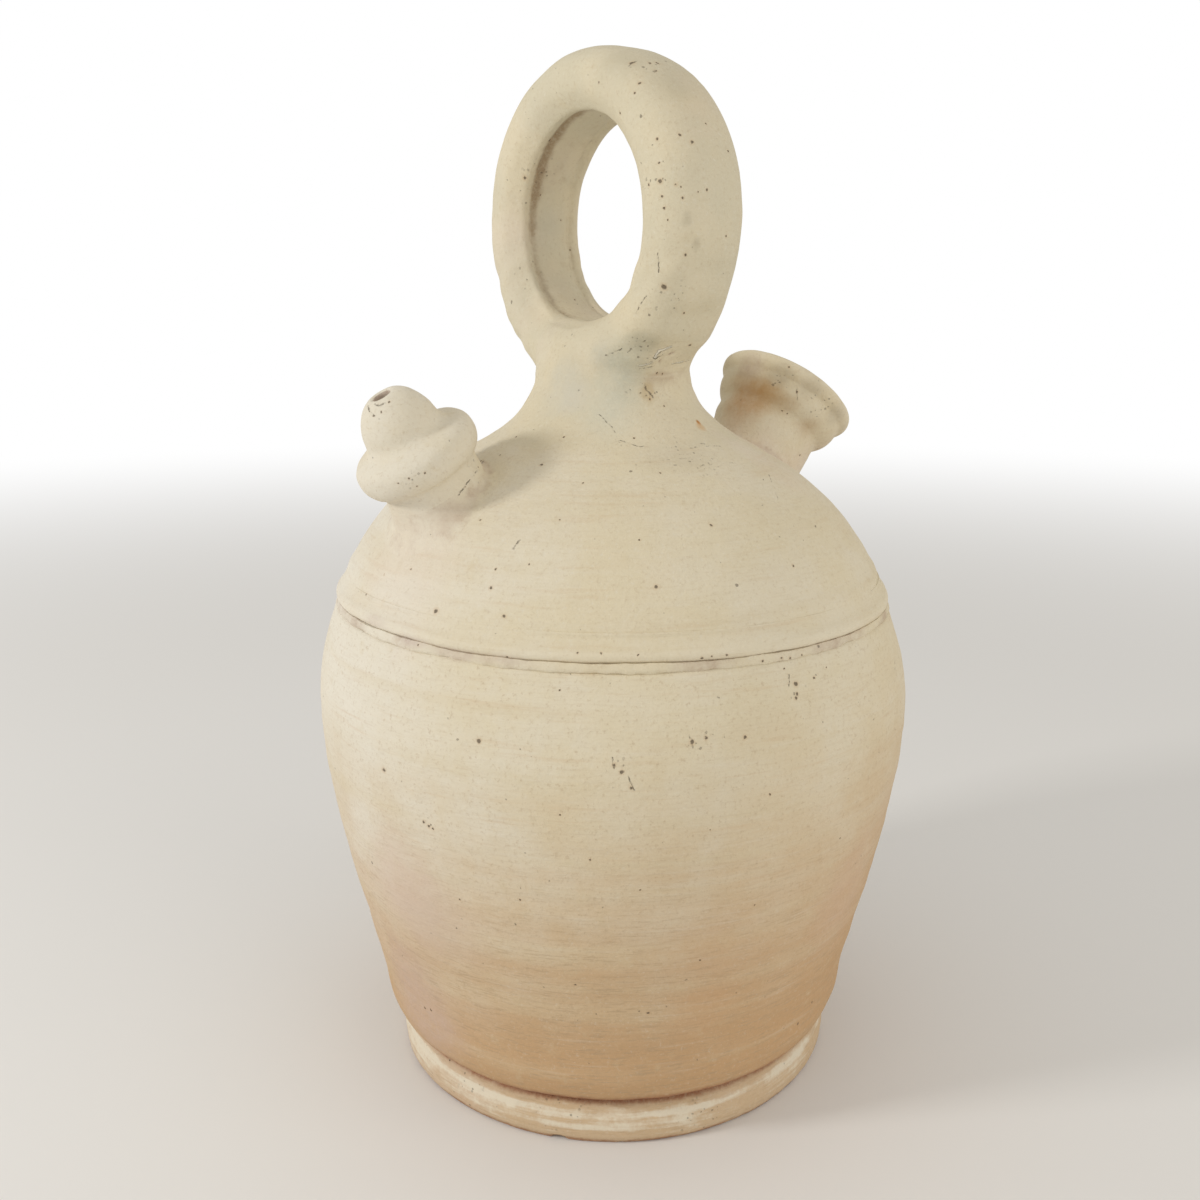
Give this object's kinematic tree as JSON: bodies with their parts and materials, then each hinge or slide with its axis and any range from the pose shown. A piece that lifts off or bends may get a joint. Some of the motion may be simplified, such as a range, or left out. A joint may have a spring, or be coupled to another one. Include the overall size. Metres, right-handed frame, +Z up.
{
  "type": "botijo",
  "caption": "Closed unglazed white clay drinking jug with a ring handle on top, a small drinking spout and a wider filler mouth opposite.",
  "frame": {"origin": "centre of the foot's underside, on the ground", "axes": "+Z up through the ring handle; +X towards the filler mouth; -X towards the drinking spout; the ring handle's hole runs along X"},
  "size_m": [0.2235, 0.221, 0.3694],
  "materials": {
    "body_clay": "unglazed, matte",
    "foot_clay": "unglazed, worn chalky",
    "seam_slip": "unglazed, dirt-stained",
    "handle_clay": "unglazed, worn smooth by hands",
    "mouth_clay": "unglazed, stained",
    "spout_clay": "unglazed, matte"
  },
  "bodies": {
    "root": {"base_floor": "foot_clay", "foot_ring": "foot_clay", "belly_wall": "body_clay", "shoulder_slip": "seam_slip", "shoulder_dome": "body_clay", "handle_neck": "handle_clay", "handle_root_coil": "handle_clay", "ring_handle": "handle_clay", "filler_mouth": "mouth_clay", "mouth_root_coil": "mouth_clay", "spout_boss": "spout_clay", "spout": "spout_clay"}
  },
  "joints": []
}
